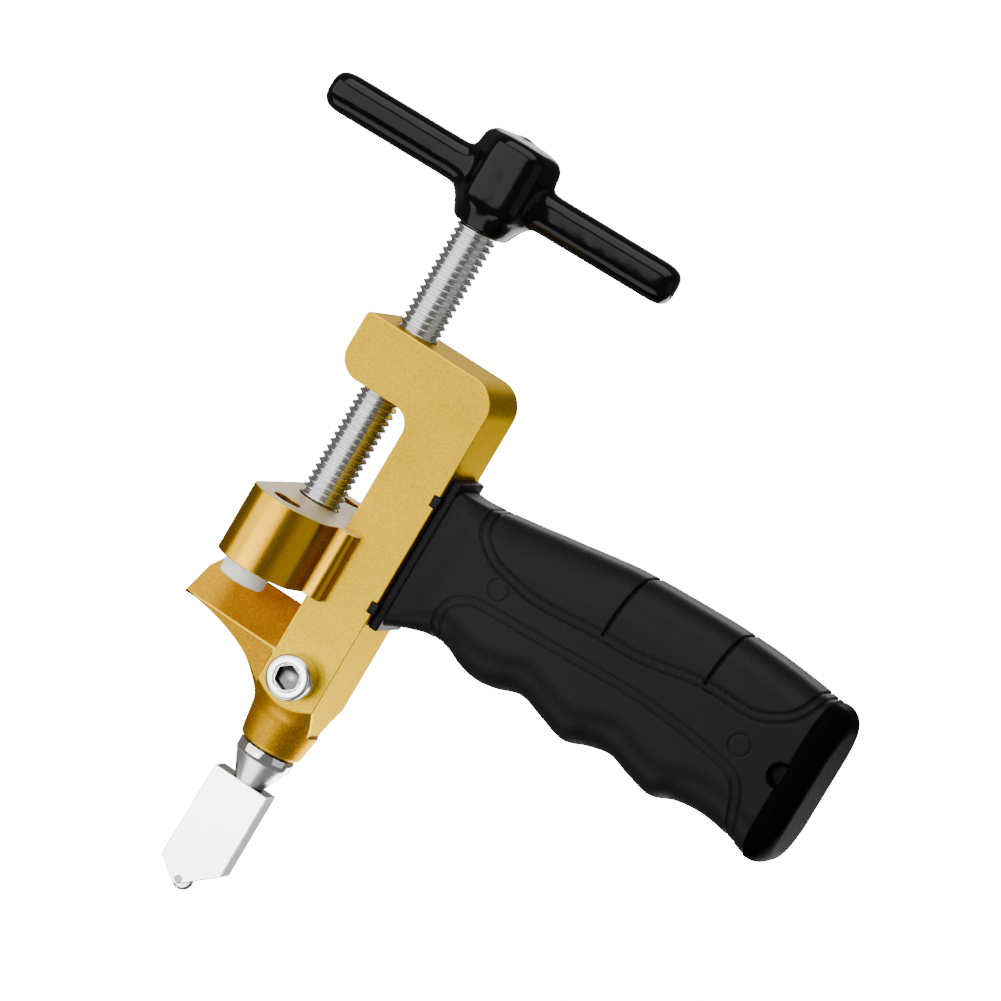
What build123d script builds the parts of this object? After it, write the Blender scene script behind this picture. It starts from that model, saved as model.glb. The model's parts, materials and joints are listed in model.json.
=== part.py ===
"""Hand glass and tile cutter with a screw-down breaking clamp and a pistol grip.

Frame: millimetres, +Z up along the nose axis and the clamp screw, +X towards the grip,
Y across the thickness. The origin is where the swivel axis meets the glass, level with
the lowest point of the cutting wheel.
"""

import os

from build123d import *

os.makedirs("parts", exist_ok=True)

# C-shaped frame
BAR_X = 14.5  # spine depth along X
BAR_Y = 21.0  # frame thickness
ARM_TOP = 130.0
ARM_THICK = 14.3
ARM_TIP_X = -27.2
OUTER_R = 6.5
INNER_R = 4.3
TIP_R = 5.5
GROOVE_Z = (76.7, 103.0)  # grip lug grooves in the back face
GROOVE_H = 2.7
GROOVE_D = 1.2

# Nose and flared underside turned about the nose axis, as radius and height
FLARE = (
    (8.2, 44.3),
    (8.55, 45.6),
    (10.2, 48.0),
    (12.75, 50.6),
    (15.8, 53.1),
    (19.5, 55.0),
    (25.3, 56.8),
    (33.5, 58.0),
)
NOSE_R = 8.2
NOSE_Z = 45.3
NOSE_TIP_R = 7.2
NOSE_BOTTOM = 37.3
NOSE_BORE_R = 4.0
NOSE_BORE_TOP = 62.0

# Anvil fin: a roof-shaped wedge with a blunt ridge
RIDGE_Z = 67.1
RIDGE_FLAT = 0.8
EAVE_Z = 58.0
FIN_TIP_X = -31.0
FLANK_LOW_Y = 7.6

# Clamp screw, 3/8 inch with 16 threads per inch
SCREW_X = -18.2
SCREW_D = 9.525
SCREW_TOP = 161.5
TAPPED_R = 4.80
JOURNAL_R = 3.0

# Tee handle
BAR_Z = 166.0
TEE_HALF = 43.0
TEE_TURN = 9.5
TEE_R = 4.6
ROD_R = 3.6
HUB_BOTTOM = 156.0
HUB_TOP = 177.5
HUB_R = 9.0
HUB_CORE_R = 6.6

# Presser block
BLOCK_Z = 72.0
BLOCK_TOP = 88.0
BLOCK_FRONT = -26.3
BLOCK_BACK = -7.4
PAD_Y = 20.0
PAD_X = -18.6
BOSS_R = 7.6
EAR_IN = 10.6
EAR_OUT = 14.4
EAR_END = -3.2
PAD_R = 5.2
PAD_H = 4.0
STEM_R = 3.1
STEM_TOP = 82.0

# Lock screw, M6 socket head
LOCK_Z = 55.3
LOCK_HEAD_R = 5.0
LOCK_HEAD_H = 6.0
LOCK_R = 3.0

# Cutter cartridge
SHANK_R = 3.97
SHANK_TOP = 61.0
COLLAR_R = 6.45
COLLAR_TOP = 36.9
COLLAR_BAND = 2.4
COLLAR_END_R = 3.6
HEAD_TOP = 28.2
HEAD_HALF_Y = 3.0
PIVOT_R = 2.0
WHEEL_R = 2.6
WHEEL_X = -1.8
AXLE_R = 0.7
SLOT_W = 1.3

# Grip
FLANGE_T = 2.3
FLANGE_Y = 8.4
FLANGE_Z = (72.4, 109.0)
SEAM_X = 101.0
WALL = 2.6
BOLT_Z = 92.0
GRIP_STATIONS = [
    # x, bottom z, top z, half width, corner radius
    (9.55, 74.0, 107.4, 8.2, 3.0),
    (13.0, 75.7, 107.3, 9.0, 4.5),
    (18.5, 77.5, 107.9, 11.0, 7.0),
    (23.5, 77.4, 108.7, 12.2, 9.0),
    (28.0, 75.7, 109.4, 12.8, 9.5),
    (32.5, 74.9, 110.2, 13.2, 10.0),
    (37.0, 75.5, 110.9, 13.3, 10.0),
    (43.0, 77.4, 111.9, 13.4, 10.0),
    (49.0, 75.9, 112.8, 13.5, 10.0),
    (55.5, 74.3, 113.3, 13.5, 10.0),
    (61.0, 76.2, 113.6, 13.5, 10.0),
    (66.0, 77.2, 113.8, 13.5, 10.0),
    (71.5, 75.7, 114.0, 13.5, 10.0),
    (77.5, 74.6, 114.0, 13.5, 10.0),
    (83.0, 76.7, 113.9, 13.5, 10.0),
    (89.0, 77.4, 113.5, 13.4, 10.0),
    (95.5, 76.6, 112.9, 13.2, 9.8),
    (101.0, 74.9, 112.2, 13.0, 9.5),
]
CAP_STATIONS = [
    (101.0, 74.9, 112.2, 13.0, 9.5),
    (103.2, 74.7, 111.8, 12.8, 9.3),
    (105.0, 75.6, 110.9, 12.0, 8.8),
    (106.2, 77.4, 109.2, 10.4, 7.6),
    (106.8, 80.0, 106.6, 8.0, 5.6),
]

half_x = BAR_X / 2
half_y = BAR_Y / 2

TEE_AXIS = Axis((SCREW_X, 0, 0), (0, 0, 1))

# ---------------------------------------------------------------- frame
with BuildPart() as frame:
    with BuildSketch(Plane.XZ):
        with BuildLine():
            Polyline(
                (half_x, NOSE_Z - 1),
                (half_x, ARM_TOP),
                (ARM_TIP_X, ARM_TOP),
                (ARM_TIP_X, ARM_TOP - ARM_THICK),
                (-half_x, ARM_TOP - ARM_THICK),
                (-half_x, NOSE_Z - 1),
                close=True,
            )
        make_face()
    extrude(amount=half_y, both=True)
    across = frame.edges().filter_by(Axis.Y)
    fillet(across.sort_by(Axis.Z)[-2:].sort_by(Axis.X)[-1], radius=OUTER_R)
    tip_edge = frame.edges().filter_by(Axis.Y).group_by(Axis.X)[0].sort_by(Axis.Z)
    fillet(tip_edge[0], radius=TIP_R)
    tip_edge = frame.edges().filter_by(Axis.Y).group_by(Axis.X)[0].sort_by(Axis.Z)
    fillet(tip_edge[-1], radius=1.2)
    inner = frame.edges().filter_by(Axis.Y).filter_by_position(Axis.X, -half_x - 0.1, -half_x + 0.1)
    fillet(inner.sort_by(Axis.Z)[-1], radius=INNER_R)
    # Anvil fin below the presser block
    with BuildSketch(Plane.XZ):
        with BuildLine():
            Polyline(
                (-half_x + 1, NOSE_Z - 0.8),
                (-half_x + 1, RIDGE_Z),
                (FIN_TIP_X + 1.5, RIDGE_Z),
                (FIN_TIP_X, RIDGE_Z - 3.0),
                (FIN_TIP_X, EAVE_Z - 2.0),
                (-16.0, NOSE_Z - 0.8),
                close=True,
            )
        make_face()
    extrude(amount=half_y, both=True)
    # Its roof above the eaves and its leaning flanks below them
    with BuildSketch(Plane.YZ.offset(FIN_TIP_X - 1)):
        for side in (1, -1):
            with BuildLine():
                Polyline(
                    (side * RIDGE_FLAT, RIDGE_Z),
                    (side * half_y, EAVE_Z),
                    (side * FLANK_LOW_Y, NOSE_Z - 2),
                    (side * (half_y + 1), NOSE_Z - 2),
                    (side * (half_y + 1), RIDGE_Z + 1),
                    (side * RIDGE_FLAT, RIDGE_Z + 1),
                    close=True,
                )
            make_face()
    extrude(amount=FIN_TIP_X * -1 + 1 - half_x, mode=Mode.SUBTRACT)
    # The whole underside turned to one flaring curve about the nose axis
    with BuildSketch(Plane.XZ):
        with BuildLine():
            Spline(*FLARE)
            Polyline(FLARE[-1], (60, 60), (60, NOSE_Z - 15), (NOSE_R, NOSE_Z - 15), FLARE[0])
        make_face()
    revolve(axis=Axis.Z, mode=Mode.SUBTRACT)
    # Tapered nose
    with BuildSketch(Plane.XZ):
        with BuildLine():
            Polyline(
                (0, NOSE_Z + 1),
                (NOSE_R - 1.2, NOSE_Z + 1),
                (NOSE_R - 1.2, NOSE_Z - 1),
                (NOSE_R, NOSE_Z - 1),
                (NOSE_TIP_R, NOSE_BOTTOM + 0.5),
                (NOSE_TIP_R - 0.5, NOSE_BOTTOM),
                (0, NOSE_BOTTOM),
                close=True,
            )
        make_face()
    revolve(axis=Axis.Z)
    # Grooves for the grip lugs
    for groove in GROOVE_Z:
        with Locations((half_x - GROOVE_D / 2 + 0.5, 0, groove)):
            Box(GROOVE_D + 1, BAR_Y + 1, GROOVE_H, mode=Mode.SUBTRACT)
    # Tapped holes and the cartridge bore
    with Locations((SCREW_X, 0, ARM_TOP - ARM_THICK / 2)):
        Cylinder(TAPPED_R, ARM_THICK + 2, mode=Mode.SUBTRACT)
    with Locations((0, 0, NOSE_BOTTOM - 1)):
        Cylinder(
            NOSE_BORE_R,
            NOSE_BORE_TOP - NOSE_BOTTOM + 1,
            align=(Align.CENTER, Align.CENTER, Align.MIN),
            mode=Mode.SUBTRACT,
        )
    with Locations(Location((0, -half_y - 1, LOCK_Z), (-90, 0, 0))):
        Cylinder(
            LOCK_R + 0.05,
            half_y + 1,
            align=(Align.CENTER, Align.CENTER, Align.MIN),
            mode=Mode.SUBTRACT,
        )
    with Locations(Location((half_x + 1, 0, BOLT_Z), (0, -90, 0))):
        Cylinder(
            3.02, 13.0, align=(Align.CENTER, Align.CENTER, Align.MIN), mode=Mode.SUBTRACT
        )
frame.part.label = "frame"
export_step(frame.part, "parts/frame.step")

# ---------------------------------------------------------------- clamp screw
with BuildPart() as clamp_screw:
    with BuildSketch(Plane.XZ):
        with BuildLine():
            Polyline(
                (SCREW_X, BLOCK_Z + 1.2),
                (SCREW_X + JOURNAL_R, BLOCK_Z + 1.2),
                (SCREW_X + JOURNAL_R, BLOCK_Z + 1.8),
                (SCREW_X + 2.4, BLOCK_Z + 1.8),
                (SCREW_X + 2.4, BLOCK_Z + 2.6),
                (SCREW_X + JOURNAL_R, BLOCK_Z + 2.6),
                (SCREW_X + JOURNAL_R, BLOCK_TOP - 4.0),
                (SCREW_X + SCREW_D / 2 - 0.8, BLOCK_TOP - 4.0),
                (SCREW_X + SCREW_D / 2, BLOCK_TOP - 3.2),
                (SCREW_X + SCREW_D / 2, SCREW_TOP - 0.8),
                (SCREW_X + SCREW_D / 2 - 0.8, SCREW_TOP),
                (SCREW_X, SCREW_TOP),
                close=True,
            )
        make_face()
    revolve(axis=Axis((SCREW_X, 0, 0), (0, 0, 1)))
clamp_screw.part.label = "clamp_screw"
export_step(clamp_screw.part, "parts/clamp_screw.step")

with BuildPart() as retaining_ring:
    with BuildSketch(Plane.XY.offset(BLOCK_Z + 1.82)):
        with Locations((SCREW_X, 0)):
            Circle(4.6)
            Circle(2.42, mode=Mode.SUBTRACT)
        with Locations((SCREW_X - 3.5, 0)):
            Rectangle(4.0, 3.6, mode=Mode.SUBTRACT)
    extrude(amount=0.76)
retaining_ring.part.label = "retaining_ring"
export_step(retaining_ring.part, "parts/retaining_ring.step")

with BuildPart() as thrust_washer:
    with BuildSketch(Plane.XY.offset(BLOCK_TOP - 5.0)):
        with Locations((SCREW_X, 0)):
            Circle(4.7)
            Circle(JOURNAL_R + 0.06, mode=Mode.SUBTRACT)
    extrude(amount=0.97)
thrust_washer.part.label = "thrust_washer"
export_step(thrust_washer.part, "parts/thrust_washer.step")

# ---------------------------------------------------------------- tee handle
with BuildPart() as tee_hub:
    with BuildSketch(Plane.XY.offset(HUB_BOTTOM + 1.2)):
        with Locations((SCREW_X, 0)):
            RegularPolygon(HUB_CORE_R, 6)
    extrude(amount=HUB_TOP - HUB_BOTTOM - 3.0)
    with Locations((SCREW_X, 0, HUB_BOTTOM)):
        Cylinder(
            SCREW_D / 2 + 0.02,
            SCREW_TOP - HUB_BOTTOM + 0.02,
            align=(Align.CENTER, Align.CENTER, Align.MIN),
            mode=Mode.SUBTRACT,
        )
    with Locations(Location((SCREW_X, 0, BAR_Z), (0, 90, 0))):
        Cylinder(ROD_R + 0.02, 30, mode=Mode.SUBTRACT)
tee_hub.part.label = "tee_hub"
export_step(tee_hub.part.rotate(TEE_AXIS, TEE_TURN), "parts/tee_hub.step")

with BuildPart() as tee_bar:
    with Locations(Location((SCREW_X, 0, BAR_Z), (0, 90, 0))):
        Cylinder(ROD_R, 2 * TEE_HALF - 3.0)
    chamfer(tee_bar.edges().filter_by(GeomType.CIRCLE), length=0.6)
tee_bar.part.label = "tee_bar"
export_step(tee_bar.part.rotate(TEE_AXIS, TEE_TURN), "parts/tee_bar.step")

with BuildPart() as tee_coating:
    with Locations(Location((SCREW_X, 0, BAR_Z), (0, 90, 0))):
        Cylinder(TEE_R, 2 * TEE_HALF)
    fillet(tee_coating.edges().filter_by(GeomType.CIRCLE), radius=3.0)
    with BuildSketch(Plane.XZ):
        with BuildLine():
            Polyline(
                (SCREW_X, HUB_BOTTOM),
                (SCREW_X + 5.7, HUB_BOTTOM),
                (SCREW_X + 8.2, HUB_BOTTOM + 3.2),
                (SCREW_X + HUB_R, HUB_BOTTOM + 7.0),
                (SCREW_X + HUB_R, HUB_TOP - 6.5),
                (SCREW_X + 8.5, HUB_TOP - 2.6),
                (SCREW_X + 7.4, HUB_TOP - 1.1),
                (SCREW_X + 4.4, HUB_TOP - 0.4),
                (SCREW_X + 1.2, HUB_TOP),
                (SCREW_X, HUB_TOP),
                close=True,
            )
        make_face()
    revolve(axis=Axis((SCREW_X, 0, 0), (0, 0, 1)))
    add(tee_hub.part, mode=Mode.SUBTRACT)
    add(tee_bar.part, mode=Mode.SUBTRACT)
    with Locations((SCREW_X, 0, HUB_BOTTOM - 1)):
        Cylinder(
            SCREW_D / 2 + 0.02,
            SCREW_TOP - HUB_BOTTOM + 1.02,
            align=(Align.CENTER, Align.CENTER, Align.MIN),
            mode=Mode.SUBTRACT,
        )
tee_coating.part.label = "tee_coating"
export_step(tee_coating.part.rotate(TEE_AXIS, TEE_TURN), "parts/tee_coating.step")

# ---------------------------------------------------------------- presser
with BuildPart() as presser_block:
    with BuildSketch(Plane.XY.offset(BLOCK_Z)):
        with BuildLine():
            Line((BLOCK_FRONT, -PAD_Y), (BLOCK_FRONT, PAD_Y))
            ThreePointArc(
                (BLOCK_FRONT, PAD_Y), (-24.0, PAD_Y + 5.5), (PAD_X, PAD_Y + BOSS_R - 0.1)
            )
            Spline(
                (PAD_X, PAD_Y + BOSS_R - 0.1),
                (-12.4, 25.9),
                (-9.0, 22.4),
                (-7.8, 18.0),
                (BLOCK_BACK, EAR_OUT),
                tangents=((1, 0), (0, -1)),
            )
            Polyline(
                (BLOCK_BACK, EAR_OUT),
                (EAR_END, EAR_OUT),
                (EAR_END, EAR_IN),
                (BLOCK_BACK, EAR_IN),
                (BLOCK_BACK, -EAR_IN),
                (EAR_END, -EAR_IN),
                (EAR_END, -EAR_OUT),
                (BLOCK_BACK, -EAR_OUT),
            )
            Spline(
                (BLOCK_BACK, -EAR_OUT),
                (-7.8, -18.0),
                (-9.0, -22.4),
                (-12.4, -25.9),
                (PAD_X, -PAD_Y - BOSS_R + 0.1),
                tangents=((0, -1), (-1, 0)),
            )
            ThreePointArc(
                (PAD_X, -PAD_Y - BOSS_R + 0.1), (-24.0, -PAD_Y - 5.5), (BLOCK_FRONT, -PAD_Y)
            )
        make_face()
        with Locations((PAD_X, PAD_Y), (PAD_X, -PAD_Y)):
            Circle(STEM_R, mode=Mode.SUBTRACT)
    extrude(amount=BLOCK_TOP - BLOCK_Z)
    with Locations((SCREW_X, 0, BLOCK_Z)):
        Cylinder(
            JOURNAL_R + 0.05,
            20,
            align=(Align.CENTER, Align.CENTER, Align.MIN),
            mode=Mode.SUBTRACT,
        )
        Cylinder(
            5.2, 2.6, align=(Align.CENTER, Align.CENTER, Align.MIN), mode=Mode.SUBTRACT
        )
    with Locations((SCREW_X, 0, BLOCK_TOP)):
        Cylinder(
            SCREW_D / 2 + 0.06,
            5.0,
            align=(Align.CENTER, Align.CENTER, Align.MAX),
            mode=Mode.SUBTRACT,
        )
presser_block.part.label = "presser_block"
export_step(presser_block.part, "parts/presser_block.step")

# ---------------------------------------------------------------- lock screw
with BuildPart() as lock_screw:
    with BuildSketch(Plane.XZ.offset(half_y)):
        with Locations((0, LOCK_Z)):
            Circle(LOCK_HEAD_R)
    extrude(amount=LOCK_HEAD_H)
    chamfer(lock_screw.edges().filter_by(GeomType.CIRCLE).sort_by(Axis.Y)[0], length=0.5)
    with BuildSketch(Plane.XZ.offset(half_y + LOCK_HEAD_H)):
        with Locations((0, LOCK_Z)):
            RegularPolygon(2.5, 6, major_radius=False)
    extrude(amount=-3.0, mode=Mode.SUBTRACT)
    with BuildSketch(Plane.XZ.offset(half_y)):
        with Locations((0, LOCK_Z)):
            Circle(LOCK_R)
    extrude(amount=-(half_y - SHANK_R - 0.05))
lock_screw.part.label = "lock_screw"
export_step(lock_screw.part, "parts/lock_screw.step")

# ---------------------------------------------------------------- cutter cartridge
with BuildPart() as cutter_shank:
    with BuildSketch(Plane.XZ):
        with BuildLine():
            Polyline(
                (PIVOT_R + 0.05, COLLAR_TOP - 3.5),
                (PIVOT_R + 0.8, COLLAR_TOP - 3.5),
                (PIVOT_R + 0.8, COLLAR_TOP + 0.02),
                (SHANK_R, COLLAR_TOP + 0.02),
                (SHANK_R, SHANK_TOP),
                (3.1, SHANK_TOP),
                (3.1, 48.0),
                (PIVOT_R + 0.05, 48.0),
                close=True,
            )
        make_face()
    revolve(axis=Axis.Z)
cutter_shank.part.label = "cutter_shank"
export_step(cutter_shank.part, "parts/cutter_shank.step")

with BuildPart() as cutter_collar:
    with BuildSketch(Plane.XZ):
        with BuildLine():
            Polyline(
                (PIVOT_R + 0.82, COLLAR_TOP),
                (COLLAR_R - 0.5, COLLAR_TOP),
                (COLLAR_R, COLLAR_TOP - 0.5),
                (COLLAR_R, COLLAR_TOP - COLLAR_BAND),
                (COLLAR_END_R, HEAD_TOP + 0.05),
                (PIVOT_R + 0.05, HEAD_TOP + 0.05),
                (PIVOT_R + 0.05, COLLAR_TOP - 3.52),
                (PIVOT_R + 0.82, COLLAR_TOP - 3.52),
                close=True,
            )
        make_face()
    revolve(axis=Axis.Z)
cutter_collar.part.label = "cutter_collar"
export_step(cutter_collar.part, "parts/cutter_collar.step")

with BuildPart() as cutter_head:
    with BuildSketch(Plane.XZ):
        with BuildLine():
            Polyline(
                (-7.7, HEAD_TOP),
                (6.1, HEAD_TOP),
                (6.1, 8.0),
                (-1.0, 1.9),
                (-1.9, 1.3),
                (-3.2, 1.5),
                (-8.0, 5.2),
                close=True,
            )
        make_face()
    extrude(amount=HEAD_HALF_Y, both=True)
    with Locations((WHEEL_X, 0, 0)):
        Cylinder(
            WHEEL_R + 0.3,
            SLOT_W,
            rotation=(90, 0, 0),
            align=(Align.CENTER, Align.CENTER, Align.CENTER),
            mode=Mode.SUBTRACT,
        )
    with Locations((WHEEL_X, 0, WHEEL_R)):
        Cylinder(WHEEL_R + 0.5, SLOT_W, rotation=(90, 0, 0), mode=Mode.SUBTRACT)
        Cylinder(AXLE_R, 2 * HEAD_HALF_Y + 1, rotation=(90, 0, 0), mode=Mode.SUBTRACT)
    with Locations((0, 0, HEAD_TOP)):
        Cylinder(
            PIVOT_R,
            8.0,
            align=(Align.CENTER, Align.CENTER, Align.MAX),
            mode=Mode.SUBTRACT,
        )
cutter_head.part.label = "cutter_head"
export_step(cutter_head.part, "parts/cutter_head.step")

with BuildPart() as pivot_pin:
    with BuildSketch(Plane.XZ):
        with BuildLine():
            Polyline(
                (0, HEAD_TOP - 8.0),
                (PIVOT_R, HEAD_TOP - 8.0),
                (PIVOT_R, 48.1),
                (1.4, 48.1),
                (1.4, 48.9),
                (PIVOT_R, 48.9),
                (PIVOT_R, 50.0),
                (1.6, 50.4),
                (0, 50.4),
                close=True,
            )
        make_face()
    revolve(axis=Axis.Z)
pivot_pin.part.label = "pivot_pin"
export_step(pivot_pin.part, "parts/pivot_pin.step")

with BuildPart() as pivot_clip:
    with BuildSketch(Plane.XY.offset(48.12)):
        Circle(2.9)
        Circle(1.42, mode=Mode.SUBTRACT)
        with Locations((-2.4, 0)):
            Rectangle(2.4, 2.2, mode=Mode.SUBTRACT)
    extrude(amount=0.76)
pivot_clip.part.label = "pivot_clip"
export_step(pivot_clip.part, "parts/pivot_clip.step")

with BuildPart() as wheel_axle:
    with Locations((WHEEL_X, 0, WHEEL_R)):
        Cylinder(AXLE_R, 2 * HEAD_HALF_Y, rotation=(90, 0, 0))
wheel_axle.part.label = "wheel_axle"
export_step(wheel_axle.part, "parts/wheel_axle.step")

with BuildPart() as cutting_wheel:
    with BuildSketch(Plane.YZ.offset(WHEEL_X)):
        with BuildLine():
            Polyline(
                (-0.55, WHEEL_R + AXLE_R + 0.05),
                (0.55, WHEEL_R + AXLE_R + 0.05),
                (0.55, 2 * WHEEL_R - 0.55),
                (0, 2 * WHEEL_R),
                (-0.55, 2 * WHEEL_R - 0.55),
                close=True,
            )
        make_face()
    revolve(axis=Axis((WHEEL_X, 0, WHEEL_R), (0, 1, 0)))
cutting_wheel.part.label = "cutting_wheel"
export_step(cutting_wheel.part, "parts/cutting_wheel.step")

# ---------------------------------------------------------------- grip
grip_inner = []
for x, low, high, half, corner in GRIP_STATIONS[2:]:
    grip_inner.append((x, low + WALL, high - WALL, half - WALL, corner - WALL))

with BuildPart() as grip_body:
    for x, low, high, half, corner in GRIP_STATIONS:
        with BuildSketch(Plane.YZ.offset(x)):
            with Locations((0, (low + high) / 2)):
                RectangleRounded(2 * half, high - low, corner)
    loft()
    for x, low, high, half, corner in grip_inner:
        with BuildSketch(Plane.YZ.offset(x)):
            with Locations((0, (low + high) / 2)):
                RectangleRounded(2 * half, high - low, corner)
    loft(mode=Mode.SUBTRACT)
    # Flange against the frame's back, with two lugs
    with BuildSketch(Plane.YZ.offset(half_x + 0.02)):
        with Locations((0, sum(FLANGE_Z) / 2)):
            RectangleRounded(2 * FLANGE_Y, FLANGE_Z[1] - FLANGE_Z[0], 2.0)
    extrude(amount=FLANGE_T)
    for groove in GROOVE_Z:
        with Locations((half_x + 0.5, 0, groove)):
            Box(
                GROOVE_D + 0.44,
                BAR_Y - 0.4,
                GROOVE_H - 0.1,
                align=(Align.MAX, Align.CENTER, Align.CENTER),
            )
    with Locations(Location((half_x, 0, BOLT_Z), (0, 90, 0))):
        Cylinder(3.2, 20, align=(Align.CENTER, Align.CENTER, Align.MIN), mode=Mode.SUBTRACT)
    # Half-round thumb notches on the seam
    for side in (1, -1):
        with Locations(Location((SEAM_X, side * 14.0, 94.3), (90, 0, 0))):
            Cylinder(3.0, 4.4, mode=Mode.SUBTRACT)
grip_body.part.label = "grip_body"
export_step(grip_body.part, "parts/grip_body.step")

with BuildPart() as grip_end_cap:
    for x, low, high, half, corner in CAP_STATIONS:
        with BuildSketch(Plane.YZ.offset(x)):
            with Locations((0, (low + high) / 2)):
                RectangleRounded(2 * half, high - low, corner)
    loft()
    x, low, high, half, corner = grip_inner[-1]
    with BuildSketch(Plane.YZ.offset(SEAM_X)):
        with Locations((0, (low + high) / 2)):
            RectangleRounded(2 * half - 3.0, high - low - 7.0, corner - 1.5)
            RectangleRounded(2 * half - 7.0, high - low - 11.0, corner - 3.5, mode=Mode.SUBTRACT)
    extrude(amount=-4.0)
grip_end_cap.part.label = "grip_end_cap"
export_step(grip_end_cap.part, "parts/grip_end_cap.step")

bolt_seat = GRIP_STATIONS[2][0]
with BuildPart() as grip_washer:
    with BuildSketch(Plane.YZ.offset(bolt_seat)):
        with Locations((0, BOLT_Z)):
            Circle(6.0)
            Circle(3.2, mode=Mode.SUBTRACT)
    extrude(amount=1.6)
grip_washer.part.label = "grip_washer"
export_step(grip_washer.part, "parts/grip_washer.step")

with BuildPart() as grip_bolt:
    with BuildSketch(Plane.YZ.offset(bolt_seat + 1.6)):
        with Locations((0, BOLT_Z)):
            Circle(5.0)
    extrude(amount=6.0)
    with BuildSketch(Plane.YZ.offset(bolt_seat + 7.6)):
        with Locations((0, BOLT_Z)):
            RegularPolygon(2.5, 6, major_radius=False)
    extrude(amount=-3.0, mode=Mode.SUBTRACT)
    with BuildSketch(Plane.YZ.offset(bolt_seat + 1.6)):
        with Locations((0, BOLT_Z)):
            Circle(3.0)
    extrude(amount=-(bolt_seat + 1.6 - half_x + 11.0))
grip_bolt.part.label = "grip_bolt"
export_step(grip_bolt.part, "parts/grip_bolt.step")

# ---------------------------------------------------------------- pads
for name, side in (("pad_near", -1), ("pad_far", 1)):
    with BuildPart() as pad:
        with Locations((PAD_X, side * PAD_Y, BLOCK_Z)):
            Cylinder(PAD_R, PAD_H, align=(Align.CENTER, Align.CENTER, Align.MAX))
        fillet(pad.edges().sort_by(Axis.Z)[0], radius=0.7)
        with Locations((PAD_X, side * PAD_Y, BLOCK_Z)):
            Cylinder(
                STEM_R - 0.02,
                STEM_TOP - BLOCK_Z,
                align=(Align.CENTER, Align.CENTER, Align.MIN),
            )
    pad.part.label = name
    export_step(pad.part, f"parts/{name}.step")
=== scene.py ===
"""Hand glass and tile cutter: the look of each piece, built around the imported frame."""

import json
import logging
import math
from dataclasses import dataclass
from enum import Enum
from typing import Optional, Union

import bmesh
import bpy
import numpy as np
from mathutils import Matrix, Vector

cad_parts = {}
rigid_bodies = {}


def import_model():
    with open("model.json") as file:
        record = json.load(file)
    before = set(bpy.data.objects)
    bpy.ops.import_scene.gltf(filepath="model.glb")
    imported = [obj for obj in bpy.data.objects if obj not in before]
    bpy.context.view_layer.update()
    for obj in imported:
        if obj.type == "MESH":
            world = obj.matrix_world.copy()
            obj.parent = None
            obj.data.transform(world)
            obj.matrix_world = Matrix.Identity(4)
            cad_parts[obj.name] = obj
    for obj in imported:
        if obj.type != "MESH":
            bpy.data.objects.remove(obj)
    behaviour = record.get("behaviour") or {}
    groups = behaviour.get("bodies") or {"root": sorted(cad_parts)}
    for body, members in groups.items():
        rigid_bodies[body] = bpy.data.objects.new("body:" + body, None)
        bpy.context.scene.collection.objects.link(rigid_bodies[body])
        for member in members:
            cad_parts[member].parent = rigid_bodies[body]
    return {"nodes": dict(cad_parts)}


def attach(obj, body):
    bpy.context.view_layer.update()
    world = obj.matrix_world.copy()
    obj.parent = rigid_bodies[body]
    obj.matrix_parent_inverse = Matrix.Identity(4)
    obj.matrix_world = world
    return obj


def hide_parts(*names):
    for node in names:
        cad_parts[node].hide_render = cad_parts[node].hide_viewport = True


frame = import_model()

logging.basicConfig(level=logging.INFO, format="%(name)s: %(message)s")
LOG = logging.getLogger("glass_cutter")

MM = 0.001
FULL_TURN = 2 * math.pi
MERGE = 1e-6
TOUCH = 0.05 * MM
BEVEL_ANGLE = math.radians(30)
EDGE_TINT = (1.0, 0.82, 0.35)
Point = tuple[float, float]
Triple = tuple[float, float, float]


# ---------------------------------------------------------------- shader helpers
class Val:
    """A shader value that adds Math nodes when it is used in Python arithmetic."""

    def __init__(self, maker: "Maker", socket: bpy.types.NodeSocket) -> None:
        """Wraps an output socket.

        Args:
            maker: the material's node maker.
            socket: the output that carries the value.
        """
        self.maker = maker
        self.socket = socket

    def _math(self, operation: str, a: "Term", b: "Term", clamp: bool = False) -> "Val":
        """Adds one Math node.

        Args:
            operation: the Math node's operation.
            a: first term.
            b: second term.
            clamp: True to hold the result between 0 and 1.

        Returns:
            The node's output.
        """
        settings = {"operation": operation, "use_clamp": clamp}
        node = self.maker.node("ShaderNodeMath", settings, {0: a, 1: b})
        return Val(self.maker, node.outputs[0])

    def __add__(self, other: "Term") -> "Val":
        """Sum."""
        return self._math("ADD", self, other)

    def __radd__(self, other: "Term") -> "Val":
        """Reflected sum."""
        return self._math("ADD", other, self)

    def __sub__(self, other: "Term") -> "Val":
        """Difference."""
        return self._math("SUBTRACT", self, other)

    def __rsub__(self, other: "Term") -> "Val":
        """Reflected difference."""
        return self._math("SUBTRACT", other, self)

    def __mul__(self, other: "Term") -> "Val":
        """Product."""
        return self._math("MULTIPLY", self, other)

    def __rmul__(self, other: "Term") -> "Val":
        """Reflected product."""
        return self._math("MULTIPLY", other, self)

    def clamp(self) -> "Val":
        """The value held between 0 and 1."""
        return self._math("ADD", self, 0.0, clamp=True)


Term = Union[Val, float, int]


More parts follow.
